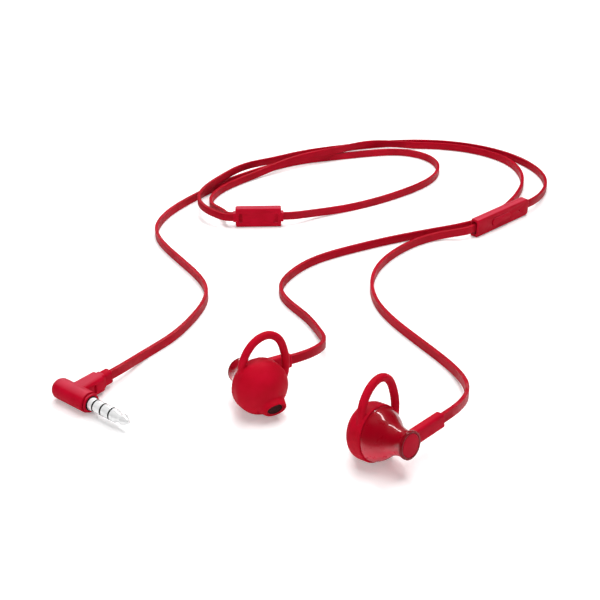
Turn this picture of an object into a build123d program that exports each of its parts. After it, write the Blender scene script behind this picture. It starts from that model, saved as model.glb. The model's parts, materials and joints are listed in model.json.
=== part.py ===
from build123d import *
import os
from math import cos, radians, sin, tan

# Wired in-ear earphones laid out on a table, millimetres, +Z up.
# The layout is drawn around the middle of its footprint; build() then moves every piece
# so that the origin is the bottom centre of the whole set.

# ---------------------------------------------------------------- driving dimensions
CABLE_H = 2.6            # flat cable, tall side (the cable stands on its edge)
CABLE_T = 1.1            # flat cable, thin side
CORE_H = 1.7             # channel for the wires inside the jacket
CORE_T = 0.5
WIRE_GAP = 0.05          # play between the wire bundle and its channel
SECTION_PITCH = 2.0      # spacing of the sections that a cable is drawn through
FIT = 0.05               # play between separate rigid pieces
SWING_CLEARANCE = 0.05   # play between a cable end and its swivel socket
SWING_DEG = 25           # cable swing each way at a strain relief
LEAD = 1.6               # straight stretch of cable outside each fitting
SOCKET_DEPTH = 0.35      # swing axis, measured back from the strain relief's end face

JACK_R = 1.75            # 3.5 mm four-pole jack
JACK_L = 14.0
JACK_BREAKS = (1.9, 4.8, 7.9)   # middles of the insulating rings, from the collar face
BREAK_W = 0.5
NECK_R = 1.3             # jack where it sits in the plug
SHOULDER_X = 0.15        # start of the full-width jack, from the collar face
WALL_END = 9.4           # end of the full-width jack, where the tip narrows
PLUG_R = 2.9             # round barrel of the right-angle plug
PLUG_L = 13.6
PLUG_Z = 2.9
PLUG_ARM_X = -6.6
PLUG_ARM_L = 12.4

SPLIT_L, SPLIT_T, SPLIT_H = 16.0, 3.2, 7.0
REMOTE_L, REMOTE_T, REMOTE_H = 29.0, 3.4, 6.3
BUTTON_L, BUTTON_H = 10.0, 2.8

EAR_SCALE = 0.92         # the earpiece sizes below are for a 16 mm sleeve; this one is 14.7 mm
RIM_R = 7.5              # wide end of the trumpet-shaped earpiece housing
WAIST_R = 3.66           # narrowest part of the horn, just before the back cap
RIM_X = 1.6              # plane where the housing meets the silicone sleeve
SLEEVE_R = 8.0
CAP_X = 12.3             # outer face of the small back cap
CAP_R = 3.95
ARM_X = 10.0             # strain-relief arm, measured along the earpiece axis
ARM_L = 15.2
ARM_H, ARM_T = 4.3, 2.8
LOOP_R = 1.0             # silicone loop, tube radius
NOZZLE_Y, NOZZLE_Z = 1.3, -5.2   # nozzle centre, low on the dome and on the arm side
MOUTH_X, MOUTH_TILT = -7.0, 25.0  # where the nozzle ends, and how far its mouth faces down

# ---------------------------------------------------------------- layout on the table
PLUG_AT, PLUG_AZ = (-67.9, -83.7, PLUG_Z), -38.5
SPLIT_AT, SPLIT_AZ = (-28.6, 34.8, 0), 2.0
REMOTE_AT, REMOTE_AZ = (56.3, 35.6, 0), 43.6
RIGHT_AT, RIGHT_AZ, RIGHT_PITCH = (4.0, -103.5, 7.6), -44.0, 8.0
LEFT_AT, LEFT_AZ, LEFT_PITCH = (-24.5, -82.4, 7.6), 119.0, -7.0

ON_TABLE = CABLE_H / 2   # centre height of a cable that stands on the table
OVER = 4.2               # centre height of a cable that passes over another

MAIN_RUN = [
    (-57.5, -56, ON_TABLE), (-51.5, -47.5, ON_TABLE), (-46.5, -37, ON_TABLE),
    (-43, -19, ON_TABLE), (-50, -1.5, ON_TABLE), (-58, 12, ON_TABLE), (-63.5, 26.5, ON_TABLE),
    (-62, 39.5, ON_TABLE), (-54.5, 54.5, ON_TABLE), (-43.5, 69.5, ON_TABLE),
    (-26.5, 86, ON_TABLE), (-12, 95, ON_TABLE), (2, 99.5, ON_TABLE), (17, 103.5, ON_TABLE),
    (27, 104, ON_TABLE), (36, 99, ON_TABLE), (40, 89, ON_TABLE), (37.5, 77, ON_TABLE),
    (26, 63, ON_TABLE), (0.5, 46, ON_TABLE), (-11, 39.5, 2.4),
]
RIGHT_UPPER_RUN = [
    (-43.5, 36, 3.8), (-48.5, 41.5, OVER), (-50.5, 49.5, OVER), (-48.5, 59, OVER),
    (-43.5, 69, OVER), (-38.5, 77, OVER), (-32.5, 85.8, 3.1), (-25, 93.8, 1.7),
    (-12.5, 102.5, ON_TABLE),
    (2.5, 108.5, ON_TABLE), (17.5, 113, ON_TABLE), (32.5, 115, ON_TABLE), (47, 113.5, ON_TABLE),
    (63, 106, ON_TABLE), (72, 97, ON_TABLE), (78.5, 83, ON_TABLE), (79, 70, 1.5),
    (75, 57.5, 2.2),
]
LEFT_RUN = [
    (-41, 39.5, 2.6), (-46, 49, 1.5), (-46, 58, ON_TABLE), (-40, 69.5, ON_TABLE),
    (-31, 79, 1.6), (-22, 85.8, 3.0), (-12, 91.5, OVER), (2, 99.5, OVER), (15, 106, OVER),
    (31, 111.6, 1.6), (46, 110.5, ON_TABLE), (58.5, 105, ON_TABLE), (68, 94.5, ON_TABLE),
    (71, 74.5, ON_TABLE), (64.5, 55, ON_TABLE), (47, 33.5, ON_TABLE),
    (33.5, 27, ON_TABLE), (18.5, 20.5, ON_TABLE), (2.5, 12, ON_TABLE), (-9, 4, ON_TABLE),
    (-17, -6.5, ON_TABLE), (-20, -17.5, ON_TABLE), (-17, -26.5, ON_TABLE),
    (-12, -35, ON_TABLE), (-8.4, -45, 2.0), (-7.6, -56.5, 4.6),
]
RIGHT_LOWER_RUN = [
    (37, 23.3, 2.0), (26, 18.5, ON_TABLE), (17.5, 9.5, ON_TABLE), (11.5, -1, ON_TABLE),
    (8.5, -14.5, ON_TABLE), (10, -28, ON_TABLE), (15.5, -41, ON_TABLE), (22, -52.5, ON_TABLE),
    (27.8, -64, 1.6), (29.8, -77.5, 4.0), (26.8, -90, 7.2),
]


# ---------------------------------------------------------------- helpers
def placed(shape, at, azimuth, pitch=0.0):
    """Puts a shape drawn in a piece's own frame (X forward, Z up) on the table."""
    return Pos(*at) * Rot(0, 0, azimuth) * Rot(0, -pitch, 0) * shape


def spot(at, azimuth, local, pitch=0.0):
    """A point of a piece's own frame, in the layout."""
    return (Pos(*at) * Rot(0, 0, azimuth) * Rot(0, -pitch, 0) * Pos(*local)).position


def heading(azimuth):
    return Vector(1, 0, 0).rotate(Axis.Z, azimuth)


def turned(*edges):
    """Revolves a closed half-outline, drawn as x along the axis and y as radius."""
    outline = [edge for stretch in edges for edge in stretch.edges()]
    return revolve(make_face(Wire(outline)), Axis.X)


def turned_outline(*points):
    return revolve(make_face(Polyline(*points, close=True)), Axis.X)


def tube(x0, x1, outer, inner=0.0):
    """A ring or disc about X from x0 to x1."""
    return turned_outline((x0, inner), (x1, inner), (x1, outer), (x0, outer))


def block(x0, x1, y0, y1, z0, z1):
    middle = ((x0 + x1) / 2, (y0 + y1) / 2, (z0 + z1) / 2)
    return Pos(*middle) * Box(x1 - x0, y1 - y0, z1 - z0)


def bar_y(width_x, height_z, y0, y1, radius, centre=(0, 0)):
    """A bar along Y with a rounded rectangular section."""
    plane = Plane(origin=(centre[0], y0, centre[1]), x_dir=(1, 0, 0), z_dir=(0, 1, 0))
    return extrude(plane * RectangleRounded(width_x, height_z, radius), amount=y1 - y0)


def oval_x(width_y, height_z, x0, x1):
    """An oval bar along X at the nozzle's place."""
    plane = Plane(origin=(x0, NOZZLE_Y, NOZZLE_Z), x_dir=(0, 1, 0), z_dir=(1, 0, 0))
    return extrude(plane * Ellipse(width_y / 2, height_z / 2), amount=x1 - x0)


def swing_mouth(at, azimuth):
    """Flared slot in which a cable end swings; azimuth points out along the cable."""
    reach = 2.0
    near = CABLE_T / 2 / cos(radians(SWING_DEG)) + SWING_CLEARANCE
    far = near + tan(radians(SWING_DEG)) * reach
    wedge = make_face(Polyline((0, -near), (reach, -far), (reach, far), (0, near), close=True))
    shape = extrude(wedge, amount=(CABLE_H + 0.2) / 2, both=True)
    shape += Cylinder(near, CABLE_H + 0.2)
    return Pos(*at) * Rot(0, 0, azimuth) * shape


# ---------------------------------------------------------------- cables
def cable_path(start, start_dir, start_lead, middle, end, end_dir, end_lead):
    """A smooth run between two short straight stretches that sit in the fittings."""
    first = Line(start, start + start_dir * start_lead)
    last = Line(end - end_dir * end_lead, end)
    run = Spline(
        first @ 1, *middle, last @ 0, tangents=[start_dir, end_dir], tangent_scalars=[1, 1]
    )
    return Wire([first.edge(), run.edge(), last.edge()])


def upright_sections(path, thickness, height):
    """Upright rectangles spaced along the path, across its direction in plan."""
    stations = round(path.length / SECTION_PITCH)
    sections = []
    for index in range(stations + 1):
        along = path.length * index / stations
        ahead = path.tangent_at(along, position_mode=PositionMode.LENGTH)
        centre = path.position_at(along, position_mode=PositionMode.LENGTH)
        level = Vector(ahead.X, ahead.Y, 0).normalized()
        across = level.cross(Vector(0, 0, 1))
        plane = Plane(origin=centre, x_dir=across, z_dir=level)
        sections.append(plane * Rectangle(thickness, height))
    return sections


def long_faces(sections):
    """The faces of a loft that run along it, without its two flat ends."""
    return [face for face in loft(sections).faces() if face.geom_type != GeomType.PLANE]


def cable(path):
    """A flat jacket and the bundle of lacquered wires that fills its channel."""
    outside = upright_sections(path, CABLE_T, CABLE_H)
    channel = upright_sections(path, CORE_T, CORE_H)
    ends = [
        Face(outside[end].face().outer_wire(), [channel[end].face().outer_wire()])
        for end in (0, -1)
    ]
    jacket = Solid(Shell(long_faces(outside) + long_faces(channel) + ends))
    wires = loft(upright_sections(path, CORE_T - 2 * WIRE_GAP, CORE_H - 2 * WIRE_GAP))
    return jacket, wires


def plug_swing_point():
    return spot(PLUG_AT, PLUG_AZ, (PLUG_ARM_X, PLUG_ARM_L - SOCKET_DEPTH, 0))


def ear_swing_point(side):
    at, azimuth, pitch, arm = EARS[side]
    arm_end = EAR_SCALE * ARM_L - SOCKET_DEPTH
    return spot(at, azimuth, (EAR_SCALE * ARM_X, arm * arm_end, 0), pitch)


EARS = {
    "left": (LEFT_AT, LEFT_AZ, LEFT_PITCH, -1),
    "right": (RIGHT_AT, RIGHT_AZ, RIGHT_PITCH, 1),
}


def cables():
    split_in = SPLIT_L / 2 - 2.5
    pair = CABLE_T / 2 + 0.07
    remote_in = REMOTE_L / 2 - 3.2
    swing_lead = SOCKET_DEPTH + LEAD
    split_lead = 2.5 + LEAD
    remote_lead = 3.2 + LEAD
    towards_split = heading(SPLIT_AZ + 180)
    towards_remote = heading(REMOTE_AZ + 180)
    main = cable_path(
        plug_swing_point(), heading(PLUG_AZ + 90), swing_lead, MAIN_RUN,
        spot(SPLIT_AT, SPLIT_AZ, (split_in, 0, SPLIT_H / 2)), towards_split, split_lead,
    )
    right_upper = cable_path(
        spot(SPLIT_AT, SPLIT_AZ, (-split_in, -pair, SPLIT_H / 2)), towards_split, split_lead,
        RIGHT_UPPER_RUN,
        spot(REMOTE_AT, REMOTE_AZ, (remote_in, 0, REMOTE_H / 2)), towards_remote, remote_lead,
    )
    right_lower = cable_path(
        spot(REMOTE_AT, REMOTE_AZ, (-remote_in, 0, REMOTE_H / 2)), towards_remote, remote_lead,
        RIGHT_LOWER_RUN,
        ear_swing_point("right"), heading(RIGHT_AZ - 90), swing_lead,
    )
    left = cable_path(
        spot(SPLIT_AT, SPLIT_AZ, (-split_in, pair, SPLIT_H / 2)), towards_split, split_lead,
        LEFT_RUN,
        ear_swing_point("left"), heading(LEFT_AZ + 90), swing_lead,
    )
    pieces = {}
    for name, path in (
        ("main_cable", main),
        ("right_cable_upper", right_upper),
        ("right_cable_lower", right_lower),
        ("left_cable", left),
    ):
        jacket, wires = cable(path)
        pieces[name + "_jacket"] = jacket
        pieces[name + "_wires"] = wires
    return pieces


# ---------------------------------------------------------------- plug
def plug():
    """Right-angle plug: X along the jack, Y along the arm, origin on the collar face."""
    dome = 2.2
    barrel = tube(-PLUG_L, -0.9, PLUG_R)
    barrel = fillet(barrel.edges().sort_by(Axis.X)[0], dome)
    arm_root = bar_y(5.0, 5.2, 0, 8.4, 1.6, (PLUG_ARM_X, 0))
    neck = bar_y(3.4, 4.6, 0, 9.6, 1.2, (PLUG_ARM_X, 0))
    slot = block(PLUG_ARM_X + 1.9, PLUG_ARM_X + 3.0, 4.6, 5.5, -1.3, 1.3)
    core_hole = tube(-5.2, 0, 2.0)
    sleeve_hole = bar_y(2.2 + 2 * FIT, 3.2 + 2 * FIT, 4.0, 10.0, 0.6, (PLUG_ARM_X, 0))
    housing = barrel + arm_root + neck - slot - core_hole - sleeve_hole

    relief = bar_y(2.9, 4.0, 9.6 + FIT, PLUG_ARM_L, 0.9, (PLUG_ARM_X, 0))
    relief = fillet(relief.edges().group_by(Axis.Y)[-1], 0.35)
    relief += bar_y(2.2, 3.2, 5.0, 9.8, 0.6, (PLUG_ARM_X, 0))
    relief -= swing_mouth((PLUG_ARM_X, PLUG_ARM_L - SOCKET_DEPTH, 0), 90)

    collar = tube(-0.9, -0.5, 2.25, 2.0) + tube(-0.5, 0, 2.55, 2.0)
    base_ring = tube(-1.4, 0, 2.0, NECK_R)

    edges = [JACK_BREAKS[0], JACK_BREAKS[1], JACK_BREAKS[2]]
    half = BREAK_W / 2
    bore, stem = 0.95, 0.5
    jack_sleeve = tube(-3.6, SHOULDER_X, NECK_R, bore)
    jack_sleeve += tube(SHOULDER_X, edges[0] - half, JACK_R, bore)
    ring_near = tube(edges[0] + half, edges[1] - half, JACK_R, bore)
    ring_far = tube(edges[1] + half, edges[2] - half, JACK_R, bore)
    insulator = tube(-4.2, edges[2] + half, bore, stem)
    for middle in edges:
        insulator += tube(middle - half, middle + half, JACK_R, stem)
    tip_start = edges[2] + half
    tip = turned(
        Polyline((-5.0, 0), (-5.0, stem), (tip_start, stem), (tip_start, JACK_R), (WALL_END, JACK_R)),
        Spline((WALL_END, JACK_R), (10.4, 1.3), (11.0, 1.2), (11.6, 1.42), (12.1, 1.5)),
        Line((12.1, 1.5), (13.5, 0.7)),
        Spline((13.5, 0.7), (JACK_L - 0.1, 0.35), (JACK_L, 0)),
        Line((JACK_L, 0), (-5.0, 0)),
    )
    pieces = {
        "plug_housing": housing,
        "plug_strain_relief": relief,
        "plug_collar": collar,
        "jack_base_ring": base_ring,
        "jack_sleeve": jack_sleeve,
        "jack_ring_near": ring_near,
        "jack_ring_far": ring_far,
        "jack_insulator": insulator,
        "jack_tip": tip,
    }
    return {name: placed(shape, PLUG_AT, PLUG_AZ) for name, shape in pieces.items()}


# ---------------------------------------------------------------- splitter
def splitter():
    """Small box where the main cable divides, in a front and a back shell."""
    outer = block(-SPLIT_L / 2, SPLIT_L / 2, -SPLIT_T / 2, SPLIT_T / 2, 0, SPLIT_H)
    outer = fillet(outer.edges(), 0.6)
    stub = block(-SPLIT_L / 2 - 0.8, SPLIT_L / 2 + 0.8, -1.45, 1.45, 1.85, SPLIT_H - 1.85)
    outer += fillet(stub.edges().filter_by(Axis.X), 0.4)
    inside = block(-5.6, 5.6, -1.1, 1.1, 1.2, SPLIT_H - 1.2)
    low, high = SPLIT_H / 2 - 1.35, SPLIT_H / 2 + 1.35
    inside += block(-12, 0, -1.25, 1.25, low, high)
    inside += block(0, 12, -0.62, 0.62, low, high)
    for x in (-6.2, 6.2):
        inside += block(x - 0.6, x + 0.6, -SPLIT_T, -SPLIT_T / 2 + 0.45, 1.7, 5.0)
    shell = outer - inside
    front = shell & block(-20, 20, -5, 0, -1, 10)
    back = shell & block(-20, 20, 0, 5, -1, 10)
    joint = fillet(block(-4.6, 4.6, -0.8, 0.8, 2.2, 4.8).edges(), 0.3)
    pieces = {"splitter_front_shell": front, "splitter_back_shell": back,
              "splitter_solder_block": joint}
    return {name: placed(shape, SPLIT_AT, SPLIT_AZ) for name, shape in pieces.items()}


# ---------------------------------------------------------------- in-line remote
def stadium(length, height, y0, y1, x, z):
    plane = Plane(origin=(x, y0, z), x_dir=(1, 0, 0), z_dir=(0, 1, 0))
    return extrude(plane * SlotOverall(length, height), amount=y1 - y0)


def remote():
    """In-line remote: X along the cable, the button on the front face at -Y."""
    half_l, half_t = REMOTE_L / 2, REMOTE_T / 2
    mid = REMOTE_H / 2
    button_x, mic_x = -1.5, 8.8
    outer = block(-half_l, half_l, -half_t, half_t, 0, REMOTE_H)
    outer = fillet(outer.edges().filter_by(Axis.Y).group_by(Axis.X)[-1], 1.6)
    outer = fillet(outer.edges().group_by(Axis.Y)[0], 0.45)
    outer = fillet(outer.edges().group_by(Axis.Y)[-1], 0.8)
    inside = block(-11.0, 11.0, -1.1, 1.1, 0.7, REMOTE_H - 0.7)
    inside += block(-half_l - 1, 0, -0.65, 0.65, mid - 1.4, mid + 1.4)
    inside += block(0, half_l + 1, -0.65, 0.65, mid - 1.4, mid + 1.4)
    inside += fillet(
        block(-half_l - 2, -half_l + 2.0, -1.15, 1.15, mid - 2.3, mid + 2.3).edges().filter_by(Axis.X),
        0.7,
    )
    inside += stadium(BUTTON_L + 2 * FIT, BUTTON_H + 2 * FIT, -half_t - 1, 0, button_x, mid)
    mic_hole = Pos(mic_x, -half_t, mid) * Rot(90, 0, 0) * Cylinder(0.35, 2.0)
    shell = outer - inside - mic_hole
    front = shell & block(-20, 20, -5, 0, -1, 10)
    back = shell & block(-20, 20, 0, 5, -1, 10)

    button = stadium(BUTTON_L, BUTTON_H, -half_t - 0.35, -0.9, button_x, mid)
    button = fillet(button.edges().group_by(Axis.Y)[0], 0.25)
    button += stadium(BUTTON_L + 1.2, BUTTON_H + 1.2, -1.05, -0.75, button_x, mid)

    board = block(-10.6, 10.6, 0.15, 0.6, 0.9, REMOTE_H - 0.9)
    switch = block(button_x - 1.7, button_x + 1.7, -0.1, 0.15, mid - 1.4, mid + 1.4)
    switch += Pos(button_x, -0.25, mid) * Rot(90, 0, 0) * Cylinder(0.8, 0.3)
    microphone = Pos(mic_x, -0.35, mid) * Rot(90, 0, 0) * Cylinder(1.3, 1.0)
    gasket = Pos(mic_x, -0.975, mid) * Rot(90, 0, 0) * (Cylinder(1.2, 0.2) - Cylinder(0.5, 1))
    pieces = {
        "remote_front_cover": front,
        "remote_back_cover": back,
        "remote_button": button,
        "remote_circuit_board": board,
        "remote_switch": switch,
        "remote_microphone": microphone,
        "remote_microphone_gasket": gasket,
    }
    return {name: placed(shape, REMOTE_AT, REMOTE_AZ) for name, shape in pieces.items()}


# ---------------------------------------------------------------- earpieces
def trumpet(rim, waist, end, x_end):
    """Solid horn from the wide rim to the small back end, as a revolve about X."""
    return turned(
        Polyline((x_end, end), (x_end, 0), (RIM_X, 0), (RIM_X, rim)),
        Spline(
            (RIM_X, rim), (3.4, rim - 0.55), (5.2, (rim + waist) / 2 + 0.2),
            (7.0, waist + 0.75), (8.8, waist + 0.08), (10.4, waist), (x_end, end),
        ),
    )


def dome(radius, x_back, x_straight, x_nose):
    """Solid dome pointing to -X behind a short straight band."""
    depth = x_straight - x_nose
    return turned(
        Polyline((x_nose, 0), (x_back, 0), (x_back, radius), (x_straight, radius)),
        Spline(
            (x_straight, radius),
            (x_straight - 0.52 * depth, 0.82 * radius),
            (x_straight - 0.86 * depth, 0.48 * radius),
            (x_nose, 0),
            tangents=[(-1, 0), (0, -1)],
        ),
    )


LOOP_POINTS = [
    (-5.6, 3.8), (-4.9, 6.6), (-3.6, 9.8), (-1.5, 12.4), (1.1, 14.0), (4.2, 14.3),
    (7.0, 12.5), (8.4, 9.0), (8.8, 5.4), (8.2, 1.6), (6.4, -3.0),
]


def sleeve():
    """Soft silicone sleeve: band, dome, oval nozzle and the stabilising loop on top."""
    body = dome(SLEEVE_R, RIM_X, -1.4, -6.7)
    root = Plane(origin=(-2.0, 0.5, -2.9), x_dir=(0, 1, 0), z_dir=(-1, 0, 0))
    tilt = radians(MOUTH_TILT)
    mouth = Plane(
        origin=(MOUTH_X, NOZZLE_Y, NOZZLE_Z - 0.1), x_dir=(0, 1, 0), z_dir=(-cos(tilt), 0, -sin(tilt))
    )
    body += loft([root * Ellipse(5.4, 4.6), mouth * Ellipse(3.35, 2.4)])
    arch = Spline(*[(0.1, y, z) for y, z in LOOP_POINTS])
    body += sweep(Plane(origin=arch @ 0, z_dir=arch % 0) * Circle(LOOP_R), path=arch)
    body -= dome(7.2 + FIT, RIM_X + 1, -1.4, -5.9)
    body -= oval_x(5.6, 3.6, -12, -1.2)
    return body


def earpiece():
    """The pieces of a right-hand earpiece: X along its axis to the back cap, Y to its arm."""
    horn = trumpet(RIM_R, WAIST_R, CAP_R - 0.05, CAP_X - 0.8)
    hollow = trumpet(RIM_R - 0.75, 2.85, 2.9, CAP_X - 0.8)
    housing = horn - hollow
    housing += tube(0.95, RIM_X + 0.2, 6.3, 5.7) + tube(RIM_X, RIM_X + 0.5, 6.9, 5.7)
    root_hole = bar_y(1.8 + 2 * FIT, 2.8 + 2 * FIT, 1.0, 6.0, 0.5, (ARM_X, 0))
    housing -= root_hole

    arm = bar_y(ARM_T, ARM_H, 1.0, ARM_L, 0.8, (ARM_X, 0))
    arm = fillet(arm.edges().group_by(Axis.Y)[-1], 0.35)
    arm -= trumpet(RIM_R, WAIST_R + FIT, CAP_R, CAP_X - 0.8)
    arm += bar_y(1.8, 2.8, 2.4, 5.0, 0.5, (ARM_X, 0))

    ring = tube(CAP_X - 0.8, CAP_X, CAP_R, 3.3) + tube(CAP_X - 1.4, CAP_X - 0.8, 2.8, 2.3)
    ring += tube(CAP_X - 0.8, CAP_X - 0.6, 3.3, 2.3)
    cap = tube(CAP_X - 0.6, CAP_X + 0.05, 3.3 - FIT)
    cap = fillet(cap.edges().sort_by(Axis.X)[-1], 0.2)

    cover = dome(7.2, RIM_X, -1.4, -5.8) - dome(6.35, RIM_X + 1, -1.4, -5.0)
    cover += oval_x(5.4, 3.4, -6.3, -1.5) - dome(6.4, RIM_X, -1.4, -5.1)
    cover -= oval_x(4.8, 2.8, -12, -1.2)
    mesh = oval_x(4.7, 2.7, -6.1, -5.9)

    frame = tube(-1.5, 0.9, 6.25, 5.6) + tube(0.5, 0.9, 5.6, 4.4)
    yoke = tube(0.3, 1.9, 4.4, 4.0) + tube(1.9, 2.4, 4.4)
    magnet = tube(0.5, 1.9, 3.1)
    top_plate = tube(0.1, 0.5, 3.1)
    coil = tube(-0.9, 1.1, 3.6, 3.35)
    diaphragm = turned(
        Polyline((-1.5, 5.5), (-1.38, 5.5)),
        Spline((-1.38, 5.5), (-2.0, 4.6), (-0.92, 3.7)),
        Line((-0.92, 3.7), (-0.92, 3.3)),
        Spline((-0.92, 3.3), (-1.7, 1.8), (-1.95, 0)),
        Line((-1.95, 0), (-2.07, 0)),
        Spline((-2.07, 0), (-1.83, 1.8), (-1.06, 3.3)),
        Line((-1.06, 3.3), (-1.06, 3.7)),
        Spline((-1.06, 3.7), (-2.14, 4.6), (-1.5, 5.5)),
    )
    damper = tube(2.45, 2.85, 3.4)
    return {
        "housing": housing,
        "strain_relief": arm,
        "trim_ring": ring,
        "back_cap": cap,
        "front_cover": cover,
        "nozzle_mesh": mesh,
        "driver_frame": frame,
        "driver_yoke": yoke,
        "driver_magnet": magnet,
        "driver_top_plate": top_plate,
        "voice_coil": coil,
        "diaphragm": diaphragm,
        "acoustic_damper": damper,
        "silicone_sleeve": sleeve(),
    }


def earpieces():
    drawn = earpiece()
    pieces = {}
    for side, (at, azimuth, pitch, arm) in EARS.items():
        for name, shape in drawn.items():
            shape = scale(shape, by=EAR_SCALE)
            shape = shape if arm > 0 else mirror(shape, about=Plane.XZ)
            shape = placed(shape, at, azimuth, pitch)
            if name == "strain_relief":
                shape -= swing_mouth(ear_swing_point(side), azimuth + arm * 90)
            pieces[side + "_" + name] = shape
    return pieces


# ---------------------------------------------------------------- output
def build():
    pieces = {**cables(), **plug(), **splitter(), **remote(), **earpieces()}
    boxes = [shape.bounding_box() for shape in pieces.values()]
    low = [min(tuple(box.min)[i] for box in boxes) for i in range(3)]
    high = [max(tuple(box.max)[i] for box in boxes) for i in range(3)]
    shift = Pos(-(low[0] + high[0]) / 2, -(low[1] + high[1]) / 2, -low[2])
    return {name: shift * shape for name, shape in pieces.items()}, shift


if __name__ == "__main__":
    os.makedirs("parts", exist_ok=True)
    for node, solid in build()[0].items():
        export_step(solid, "parts/" + node + ".step")
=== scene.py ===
import json
import math

import bmesh
import bpy
from mathutils import Matrix, Vector


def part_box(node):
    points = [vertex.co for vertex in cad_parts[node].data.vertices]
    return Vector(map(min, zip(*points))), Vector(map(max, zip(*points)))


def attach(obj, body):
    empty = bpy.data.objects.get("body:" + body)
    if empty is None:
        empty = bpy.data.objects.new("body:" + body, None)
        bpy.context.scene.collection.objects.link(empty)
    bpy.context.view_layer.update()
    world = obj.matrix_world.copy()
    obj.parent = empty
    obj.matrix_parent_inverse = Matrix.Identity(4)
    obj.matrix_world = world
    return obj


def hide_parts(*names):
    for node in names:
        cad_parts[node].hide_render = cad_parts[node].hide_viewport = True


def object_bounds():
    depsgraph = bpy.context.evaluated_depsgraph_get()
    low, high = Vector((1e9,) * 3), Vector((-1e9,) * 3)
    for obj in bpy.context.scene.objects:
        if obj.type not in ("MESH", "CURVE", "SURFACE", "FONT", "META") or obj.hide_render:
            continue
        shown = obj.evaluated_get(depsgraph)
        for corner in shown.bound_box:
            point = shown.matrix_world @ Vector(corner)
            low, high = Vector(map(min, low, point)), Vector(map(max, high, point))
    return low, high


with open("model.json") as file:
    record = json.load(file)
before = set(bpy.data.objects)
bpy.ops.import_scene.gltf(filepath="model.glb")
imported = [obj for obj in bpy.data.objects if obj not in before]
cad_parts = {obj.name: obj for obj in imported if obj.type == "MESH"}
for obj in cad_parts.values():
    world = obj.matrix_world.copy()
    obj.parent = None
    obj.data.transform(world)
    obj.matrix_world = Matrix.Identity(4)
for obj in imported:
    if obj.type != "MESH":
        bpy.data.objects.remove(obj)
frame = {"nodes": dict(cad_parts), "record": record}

MM = 0.001
nodes = frame["nodes"]
bodies = frame["record"]["behaviour"]["bodies"]
body_of = {node: body for body, members in bodies.items() for node in members}
cad_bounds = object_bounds()
scene = bpy.context.scene


# ---------------------------------------------------------------- materials
PAINTED_TOP_SHEEN = (236, 150, 172)        # painted sheen on the moulded tops
BOUNCE = (222, 20, 58)        # light from the table on the horn
EDGE_POINTINESS = 0.52, 0.62  # where an edge starts to look worn, and where it is fully worn
GLOW_REACH = 0.8 * MM         # how far light travels inside the soft pieces
DRIFT_SCALE = 140             # patches of slightly different colour, per metre
SMUDGE_SCALE = 420            # patches of slightly different roughness, per metre
ROUGH_SPREAD = 0.18           # how far the roughness strays from its mean
WAVE_WIDTHS = 3.2             # thread pitches in one wave of the wave texture


def linear(red, green, blue):
    """Display colour (0 to 255) as the linear values that shaders use."""
    return tuple(
        (c / 12.92 if c <= 0.04045 else ((c + 0.055) / 1.055) ** 2.4)
        for c in (red / 255, green / 255, blue / 255)
    ) + (1.0,)


def shader(name):
    """A new material with its node tree, its principled shader and its object coordinates."""
    made = bpy.data.materials.new(name)
    made.use_nodes = True
    tree = made.node_tree
    tree.nodes.clear()
    out = tree.nodes.new("ShaderNodeOutputMaterial")
    main = tree.nodes.new("ShaderNodeBsdfPrincipled")
    tree.links.new(main.outputs[0], out.inputs["Surface"])
    coords = tree.nodes.new("ShaderNodeTexCoord").outputs["Object"]
    return made, tree, main, coords


def stretched(tree, coords, scale):
    mapping = tree.nodes.new("ShaderNodeMapping")
    mapping.inputs["Scale"].default_value = scale
    tree.links.new(coords, mapping.inputs["Vector"])
    return mapping.outputs[0]


def noise(tree, coords, scale, detail=3.0):
    node = tree.nodes.new("ShaderNodeTexNoise")
    node.inputs["Scale"].default_value = scale
    node.inputs["Detail"].default_value = detail
    node.inputs["Roughness"].default_value = 0.55
    tree.links.new(coords, node.inputs["Vector"])
    return node.outputs["Fac"]


def ranged(tree, value, low, high, new_low, new_high):
    """Maps value from low...high to new_low...new_high, held at the ends."""
    node = tree.nodes.new("ShaderNodeMapRange")
    limits = {"From Min": low, "From Max": high, "To Min": new_low, "To Max": new_high}
    for key, number in limits.items():
        node.inputs[key].default_value = number
    tree.links.new(value, node.inputs["Value"])
    return node.outputs[0]


def maths(tree, operation, *values):
    """The result of a math node on the given outputs."""
    node = tree.nodes.new("ShaderNodeMath")
    node.operation = operation
    for socket, value in zip(node.inputs, values):
        tree.links.new(value, socket)
    return node.outputs[0]


def split(tree, vector):
    """The X, Y and Z outputs of a vector."""
    node = tree.nodes.new("ShaderNodeSeparateXYZ")
    tree.links.new(vector, node.inputs[0])
    return node.outputs


def geometry(tree, output):
    return tree.nodes.new("ShaderNodeNewGeometry").outputs[output]


def light_path(tree, ray):
    return tree.nodes.new("ShaderNodeLightPath").outputs[ray]


def mixed(tree, factor, first, second):
    node = tree.nodes.new("ShaderNodeMix")
    node.data_type = "RGBA"
    tree.links.new(factor, node.inputs["Factor"])
    for socket, colour in zip(node.inputs[6:8], (first, second)):
        if isinstance(colour, tuple):
            socket.default_value = colour
        else:
            tree.links.new(colour, socket)
    return node.outputs[2]


def bumped(tree, main, height, distance, after=None):
    """Adds a bump of the given depth (m), on top of an earlier one."""
    node = tree.nodes.new("ShaderNodeBump")
    node.inputs["Strength"].default_value = 1.0
    node.inputs["Distance"].default_value = distance
    tree.links.new(height, node.inputs["Height"])
    if after is not None:
        tree.links.new(after, node.inputs["Normal"])
    tree.links.new(node.outputs[0], main.inputs["Normal"])
    return node.outputs[0]


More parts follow.
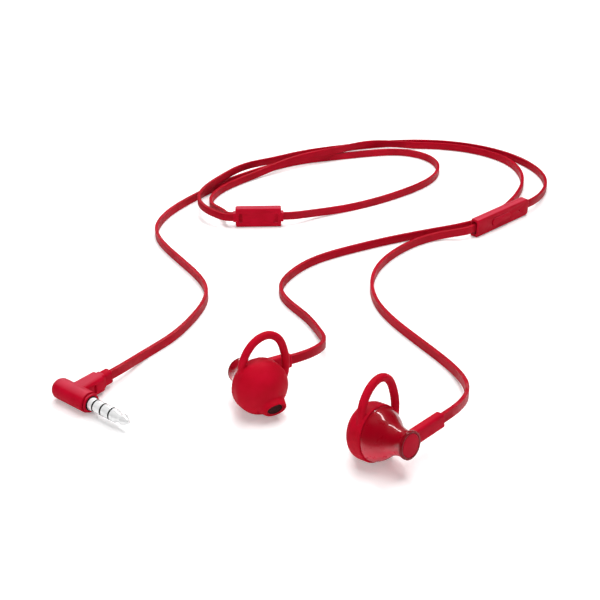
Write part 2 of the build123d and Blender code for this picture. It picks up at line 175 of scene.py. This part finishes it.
def plastic(name, colour, shade, rough, grain=2500, depth=0.006, coat=0.0, coat_rough=0.05,
            wear=0.12, sheen=0.0, glow=0.0, streak=None, metal=0.0, shine=0.5,
            painted_light=0.0, painted_light_slope=(0.7, 1.0), painted_light_colour=PAINTED_TOP_SHEEN):
    """Moulded material: colour drift, polished edges, uneven roughness and a fine surface grain.

    The last three arguments paint light into the colour: faces whose upward slope lies in the
    given range are tinted towards the given colour, a painted highlight where the range faces up,
    painted bounce light where it faces down.
    """
    made, tree, main, coords = shader(name)
    drift = ranged(tree, noise(tree, coords, DRIFT_SCALE), 0.35, 0.65, 0.0, 1.0)
    base = mixed(tree, drift, linear(*shade), linear(*colour))
    # Painted light: faces whose upward slope lies in the given range are tinted towards the given
    # colour.
    if painted_light:
        up = split(tree, geometry(tree, "Normal"))["Z"]
        base = mixed(tree, ranged(tree, up, *painted_light_slope, 0.0, painted_light), base, linear(*painted_light_colour))
    worn = ranged(tree, geometry(tree, "Pointiness"), *EDGE_POINTINESS, 0.0, wear)
    bright = tuple(min(1.0, c * 1.5 + 0.03) for c in linear(*colour)[:3]) + (1.0,)
    tree.links.new(mixed(tree, worn, base, bright), main.inputs["Base Color"])
    smudges = noise(tree, coords, SMUDGE_SCALE, 4.0)
    low, high = rough * (1 - ROUGH_SPREAD), rough * (1 + ROUGH_SPREAD)
    tree.links.new(ranged(tree, smudges, 0.3, 0.7, low, high), main.inputs["Roughness"])
    fine = bumped(tree, main, noise(tree, coords, grain, 2.0), depth * MM)
    if streak:
        along = stretched(tree, coords, streak)
        bumped(tree, main, noise(tree, along, 1.0, 2.0), depth * MM * 1.5, fine)
    settings = {
        "Metallic": metal,
        "Specular IOR Level": shine,
        "Coat Weight": coat,
        "Coat Roughness": coat_rough,
        "Sheen Weight": sheen,
        "Sheen Roughness": 0.4,
        "Sheen Tint": bright,
        "Subsurface Weight": glow,
        "Subsurface Radius": (1.0, 0.15, 0.15),
        "Subsurface Scale": GLOW_REACH,
    }
    for key, value in settings.items():
        main.inputs[key].default_value = value
    return made


def woven(name, colour, shade, pitch, rough, metal=0.0):
    """Crossed threads, pitch in millimetres, for the acoustic mesh and the damper felt."""
    made, tree, main, coords = shader(name)
    threads = []
    for along in ("X", "Z"):
        wave = tree.nodes.new("ShaderNodeTexWave")
        wave.bands_direction = along
        wave.inputs["Scale"].default_value = 1.0 / (pitch * MM) / WAVE_WIDTHS
        wave.inputs["Distortion"].default_value = 0.6
        tree.links.new(coords, wave.inputs["Vector"])
        threads.append(wave.outputs["Fac"])
    both = maths(tree, "MAXIMUM", *threads)
    tree.links.new(mixed(tree, both, linear(*shade), linear(*colour)), main.inputs["Base Color"])
    bumped(tree, main, both, pitch * 0.3 * MM)
    main.inputs["Roughness"].default_value = rough
    main.inputs["Metallic"].default_value = metal
    return made


FINISHES = {
    "cable_jacket": plastic("cable_jacket", (174, 8, 34), (160, 6, 28), 0.42, grain=2600,
                            depth=0.004, streak=(60, 60, 2600), glow=0.05, shine=0.05),
    "silicone": plastic("silicone", (196, 14, 42), (182, 10, 34), 0.56, grain=3800, depth=0.005,
                        sheen=0.04, glow=0.1, wear=0.05, shine=0.06),
    "soft_relief": plastic("soft_relief", (188, 9, 40), (174, 7, 34), 0.5, grain=3200,
                           depth=0.005, sheen=0.02, glow=0.05, shine=0.05),
    # The glossy horn's downward faces get painted bounce light from the table.
    "gloss_shell": plastic("gloss_shell", (156, 3, 25), (148, 2, 22), 0.3, grain=600,
                           depth=0.001, coat=0.9, coat_rough=0.03, wear=0.05, shine=0.2,
                           painted_light=0.9, painted_light_slope=(0.3, -0.35), painted_light_colour=BOUNCE),
    # The satin shells' upward faces get a painted sheen.
    "satin_shell": plastic("satin_shell", (190, 12, 42), (176, 9, 34), 0.42, grain=2800,
                           depth=0.005, shine=0.04, painted_light=0.14),
    "ring": plastic("ring", (138, 3, 20), (118, 2, 15), 0.25, grain=1800, depth=0.002, shine=0.2),
    "cap": plastic("cap", (190, 8, 42), (176, 6, 36), 0.42, grain=2600, depth=0.004,
                   streak=(900, 900, 900), shine=0.05),
    "jack_metal": plastic("jack_metal", (250, 250, 250), (242, 242, 242), 0.18, grain=1500,
                          depth=0.0006, metal=0.2, wear=0.02),
    "black_insulator": plastic("black_insulator", (12, 11, 12), (6, 6, 7), 0.35, shine=0.2),
    "dark_plastic": plastic("dark_plastic", (34, 32, 34), (24, 22, 24), 0.5),
    "board": plastic("board", (22, 84, 48), (14, 66, 38), 0.4, coat=0.5, coat_rough=0.15),
    "copper": plastic("copper", (196, 112, 62), (172, 92, 48), 0.3, metal=1.0,
                      streak=(200, 200, 9000)),
    "steel": plastic("steel", (150, 150, 154), (128, 128, 132), 0.34, metal=1.0),
    "magnet": plastic("magnet", (112, 112, 118), (90, 90, 96), 0.28, metal=1.0),
    "film": plastic("film", (206, 200, 184), (190, 184, 168), 0.25, coat=0.4),
    "mesh": woven("mesh", (70, 22, 26), (12, 4, 5), 0.16, 0.5, 0.6),
    "felt": woven("felt", (58, 56, 58), (26, 24, 26), 0.3, 0.9),
}


slots = {}
for node, obj in nodes.items():
    slots[node] = obj.data.materials[0].name.split(".")[0]
    for index in range(len(obj.data.materials)):
        obj.data.materials[index] = FINISHES[slots[node]]


# ---------------------------------------------------------------- geometry
WELD = 0.002 * MM           # vertices closer than this are one
FLAT_DEG = 0.4              # facets this close to one plane are one face
BEVEL_DEG = 32              # edges sharper than this are rounded
SMOOTH_DEG = 40             # edges blunter than this are shaded smooth
BAND_R = 7.5 * MM           # just outside the sleeve's band
LOOP_BLEND = 1.0 * MM       # over which the ear loop swells to its full thickness
LOOP_SWELL = 0.2 * MM
SLEEVE_VOXEL = 0.2 * MM
SLEEVE_ROUNDS = 10          # how often the sleeve's skin is relaxed
SLEEVE_RELAX = 0.5          # how far each of those rounds goes


def copied(node, name):
    """The welded mesh of a CAD node as a new object, ready to be refined."""
    mesh = nodes[node].data.copy()
    mesh.name = name
    work = bmesh.new()
    work.from_mesh(mesh)
    bmesh.ops.remove_doubles(work, verts=work.verts, dist=WELD)
    work.to_mesh(mesh)
    work.free()
    obj = bpy.data.objects.new(name, mesh)
    scene.collection.objects.link(obj)
    return obj


def applied(obj):
    """Bakes the modifiers of obj into its mesh."""
    graph = bpy.context.evaluated_depsgraph_get()
    graph.update()
    final = bpy.data.meshes.new_from_object(obj.evaluated_get(graph))
    obj.modifiers.clear()
    old, obj.data = obj.data, final
    bpy.data.meshes.remove(old)


def smooth_by_angle(obj):
    """Shades the piece smooth, except across its sharp edges."""
    work = bmesh.new()
    work.from_mesh(obj.data)
    for face in work.faces:
        face.smooth = True
    limit = math.radians(SMOOTH_DEG)
    for edge in work.edges:
        edge.smooth = len(edge.link_faces) == 2 and edge.calc_face_angle(0.0) < limit
    work.to_mesh(obj.data)
    work.free()


def adopt(obj, node):
    """Gives a finished piece its material and its body, and hides the CAD node that it stands for.
    """
    slot = slots[node]
    obj.data.materials.clear()
    obj.data.materials.append(FINISHES[slot])
    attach(obj, body_of[node])
    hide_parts(node)


def softened(node, radius, segments):
    """A moulded piece: the CAD shape with its sharp edges rounded to radius (mm)."""
    obj = copied(node, node + "_moulded")
    work = bmesh.new()
    work.from_mesh(obj.data)
    flat = math.radians(FLAT_DEG)
    bmesh.ops.dissolve_limit(work, angle_limit=flat, verts=work.verts, edges=work.edges)
    work.to_mesh(obj.data)
    work.free()
    bevel = obj.modifiers.new("edges", "BEVEL")
    bevel.width = radius * MM
    bevel.segments = segments
    bevel.limit_method = "ANGLE"
    bevel.angle_limit = math.radians(BEVEL_DEG)
    bevel.use_clamp_overlap = True
    bevel.miter_outer = "MITER_ARC"
    applied(obj)
    smooth_by_angle(obj)
    adopt(obj, node)


def centre(node):
    """The middle of a CAD node's box."""
    low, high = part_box(node)
    return (low + high) / 2


def thicken_loop(mesh, side):
    """Swells the ear loop, which alone stands further from the earpiece axis than BAND_R."""
    start = centre(side + "_driver_magnet")
    axis = (centre(side + "_back_cap") - start).normalized()
    mesh.update()
    moves = []
    for vertex in mesh.vertices:
        out = vertex.co - start
        radius = (out - out.dot(axis) * axis).length
        share = min(1.0, max(0.0, (radius - BAND_R) / LOOP_BLEND))
        moves.append(vertex.normal * share * LOOP_SWELL)
    for vertex, move in zip(mesh.vertices, moves):
        vertex.co += move


def silicone_sleeve(side):
    """A soft sleeve: the CAD solid remeshed and relaxed, so nozzle and loop flow into the dome."""
    node = side + "_silicone_sleeve"
    obj = copied(node, node + "_soft")
    remesh = obj.modifiers.new("skin", "REMESH")
    remesh.mode = "VOXEL"
    remesh.voxel_size = SLEEVE_VOXEL
    relax = obj.modifiers.new("relax", "CORRECTIVE_SMOOTH")
    relax.use_only_smooth = True
    relax.iterations = SLEEVE_ROUNDS
    relax.smooth_type = "SIMPLE"
    relax.factor = SLEEVE_RELAX
    applied(obj)
    thicken_loop(obj.data, side)
    for face in obj.data.polygons:
        face.use_smooth = True
    adopt(obj, node)


# Edge radius (mm) and bevel segments of each moulded piece.
ROUNDED = {
    "main_cable_jacket": (0.3, 3),
    "left_cable_jacket": (0.3, 3),
    "right_cable_upper_jacket": (0.3, 3),
    "right_cable_lower_jacket": (0.3, 3),
    "splitter_front_shell": (0.1, 2),
    "splitter_back_shell": (0.1, 2),
    "remote_front_cover": (0.1, 2),
    "remote_back_cover": (0.1, 2),
    "remote_button": (0.1, 2),
    "plug_housing": (0.3, 2),
    "plug_strain_relief": (0.2, 2),
    "plug_collar": (0.12, 2),
    "jack_base_ring": (0.08, 2),
    "jack_sleeve": (0.06, 2),
    "jack_ring_near": (0.06, 2),
    "jack_ring_far": (0.06, 2),
}
EAR_ROUNDED = {
    "_housing": (0.15, 2),
    "_strain_relief": (0.3, 3),
    "_trim_ring": (0.12, 2),
    "_back_cap": (0.12, 2),
}

for node, (radius, segments) in ROUNDED.items():
    softened(node, radius, segments)
for side in ("left", "right"):
    for piece, (radius, segments) in EAR_ROUNDED.items():
        softened(side + piece, radius, segments)
    silicone_sleeve(side)


# ---------------------------------------------------------------- stage
TARGET = Vector((-14.24, -22.07, 0.18)) * MM
CAMERA_BACK = 308.4 * MM
CAMERA_UP = 164.0 * MM
SENSOR = 36.0
FOCAL = 67.92                 # mm, on that sensor
CLIP_START = 0.01


def aimed(obj, at):
    obj.rotation_mode = "QUATERNION"
    obj.rotation_quaternion = (at - obj.location).to_track_quat("-Z", "Y")


camera = bpy.data.objects.new("camera", bpy.data.cameras.new("camera"))
scene.collection.objects.link(camera)
camera.location = TARGET + Vector((0, -CAMERA_BACK, CAMERA_UP))
camera.data.sensor_width = SENSOR
camera.data.lens = FOCAL
camera.data.clip_start = CLIP_START
aimed(camera, TARGET)
scene.camera = camera


def light(name, at, size, power):
    """A rectangular lamp that looks at TARGET, placed relative to it."""
    lamp = bpy.data.lights.new(name, "AREA")
    lamp.shape = "RECTANGLE"
    lamp.size, lamp.size_y = size
    lamp.energy = power
    obj = bpy.data.objects.new(name, lamp)
    scene.collection.objects.link(obj)
    obj.location = TARGET + Vector(at)
    aimed(obj, TARGET)
    return obj


SOFT_LIGHTS = {  # place (m), size (m) and power (W); none of them shows in reflections
    "overhead": ((-0.05, -0.05, 0.8), (0.7, 0.5), 4.0),
    "left_soft": ((-0.75, -0.45, 0.45), (0.12, 0.7), 2.2),
    "front_fill": ((0.3, -0.9, 0.4), (0.5, 0.3), 2.6),
}
for name, (at, size, power) in SOFT_LIGHTS.items():
    light(name, at, size, power).visible_glossy = False

# A chain of thin lamps, behind and above, draws the narrow highlight along the glossy horns.
STRIP_CORNERS = [
    Vector((-0.18, 0.66, 0.40)), Vector((0.033, 0.389, 0.694)), Vector((0.30, 0.15, 0.72)),
    Vector((0.37, -0.08, 0.70)),
]
STRIP_WIDTH = 0.07
STRIP_POWER = 4.2             # W per metre of lamp
for index, (near, far) in enumerate(zip(STRIP_CORNERS, STRIP_CORNERS[1:])):
    middle = (near + far) / 2
    length = (far - near).length
    strip = light("strip_%d" % index, middle, (length, STRIP_WIDTH), STRIP_POWER * length)
    back = middle.normalized()
    along = (far - near) - (far - near).dot(back) * back
    along.normalize()
    turn = Matrix((along, back.cross(along), back)).transposed()
    strip.rotation_quaternion = turn.to_quaternion()

# The room is dim in front and above and brighter behind, with a bright backdrop that only shows
# in reflections. The camera itself sees plain white.
world = bpy.data.worlds.new("studio")
scene.world = world
world.use_nodes = True
sky = world.node_tree
direction = split(sky, sky.nodes.new("ShaderNodeTexCoord").outputs["Generated"])
behind = ranged(sky, direction["Y"], -0.2, 0.75, 0.12, 0.9)
low_only = ranged(sky, direction["Z"], 0.15, 0.9, 1.0, 0.35)
far_back = ranged(sky, direction["Y"], 0.7, 0.85, 0.0, 2.4)
room = maths(sky, "MULTIPLY", behind, low_only)
reflected = maths(sky, "MULTIPLY_ADD", far_back, light_path(sky, "Is Glossy Ray"), room)
seen = maths(sky, "MAXIMUM", reflected, light_path(sky, "Is Camera Ray"))
sky.links.new(seen, sky.nodes["Background"].inputs["Strength"])

FLOOR_HALF = 3.0
FLOOR_CELLS = 24
FLOOR_GAP = 0.02 * MM
FLOOR_GLOW = 0.22                    # lifts the table to white for the camera alone
FLAG_FROM, FLAG_TO = -0.118, -0.135  # Y where the flagged part of the table fades in (m)
FLAG_SHARE = 0.93

floor_mesh = bpy.data.meshes.new("floor")
floor_work = bmesh.new()
bmesh.ops.create_grid(floor_work, x_segments=FLOOR_CELLS, y_segments=FLOOR_CELLS, size=FLOOR_HALF)
floor_work.to_mesh(floor_mesh)
floor_work.free()
floor = bpy.data.objects.new("floor", floor_mesh)
scene.collection.objects.link(floor)
floor.location = (0, 0, cad_bounds[0][2] - FLOOR_GAP)
table = plastic("table", (250, 250, 250), (246, 246, 246), 0.6, grain=900, depth=0.002)
tree = table.node_tree
surface = tree.nodes["Principled BSDF"]
surface.inputs["Emission Color"].default_value = (1, 1, 1, 1)
glow = ranged(tree, light_path(tree, "Is Camera Ray"), 0.0, 1.0, 0.0, FLOOR_GLOW)
tree.links.new(glow, surface.inputs["Emission Strength"])
# The table in front of the set is flagged off from reflections, as a dark card would do.
ahead = split(tree, geometry(tree, "Position"))["Y"]
in_front = ranged(tree, ahead, FLAG_FROM, FLAG_TO, 0.0, FLAG_SHARE)
card = tree.nodes.new("ShaderNodeMixShader")
shares = maths(tree, "MULTIPLY", in_front, light_path(tree, "Is Glossy Ray"))
dark = tree.nodes.new("ShaderNodeHoldout")
for socket, output in zip(card.inputs, (shares, surface.outputs[0], dark.outputs[0])):
    tree.links.new(output, socket)
tree.links.new(card.outputs[0], tree.nodes["Material Output"].inputs["Surface"])
floor_mesh.materials.append(table)

scene.view_settings.view_transform = "Standard"
